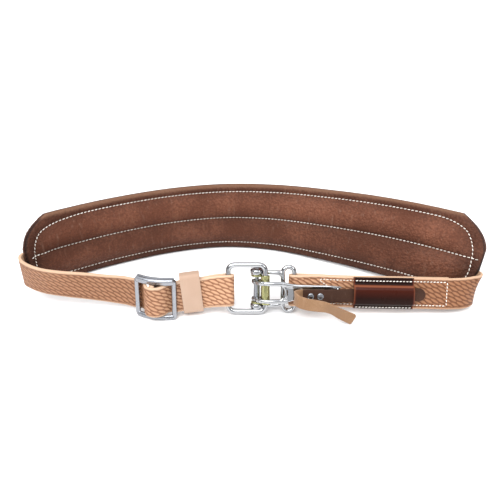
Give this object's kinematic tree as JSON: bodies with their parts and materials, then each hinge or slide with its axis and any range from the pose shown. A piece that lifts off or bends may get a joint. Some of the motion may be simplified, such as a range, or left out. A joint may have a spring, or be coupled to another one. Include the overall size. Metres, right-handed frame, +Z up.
{
  "type": "padded work belt",
  "caption": "Padded leather work belt, fastened: a stamped strap runs round a curved two-channel back pad and closes at the front with a ring and a lever latch",
  "frame": {"origin": "bottom centre of the bounding box, on the floor the belt stands on", "axes": "X runs along the belt's long side, the wearer's right to left as the latch faces the viewer; -Y is the front with the latch, +Y the back of the pad; +Z is up"},
  "size_m": [0.5981, 0.2096, 0.1067],
  "materials": {
    "pad_leather": "soft oiled brown leather with a fine grain",
    "backing_leather": "dark brown leather, flesh side in",
    "strap_leather": "natural tanned leather, stamped with a weave pattern, cream edge",
    "keeper_leather": "plain natural leather",
    "strip_leather": "very dark brown ribbed leather",
    "sleeve_leather": "glossy burgundy leather",
    "suede": "tan suede",
    "nickel": "satin nickel-plated steel",
    "chrome": "bright chrome-plated steel",
    "zinc": "yellow zinc-plated steel"
  },
  "bodies": {
    "root": {"pad_cushion": "pad_leather", "pad_backing": "backing_leather", "belt_strap": "strap_leather", "strap_keeper": "keeper_leather", "slide_buckle": "nickel", "latch_ring": "chrome", "latch_frame": "chrome", "latch_lever": "chrome", "latch_gate": "zinc", "hinge_pin": "nickel", "lever_strip": "strip_leather", "rivet_1": "nickel", "rivet_2": "nickel", "lever_sleeve": "sleeve_leather", "pull_tab": "suede"}
  },
  "joints": []
}
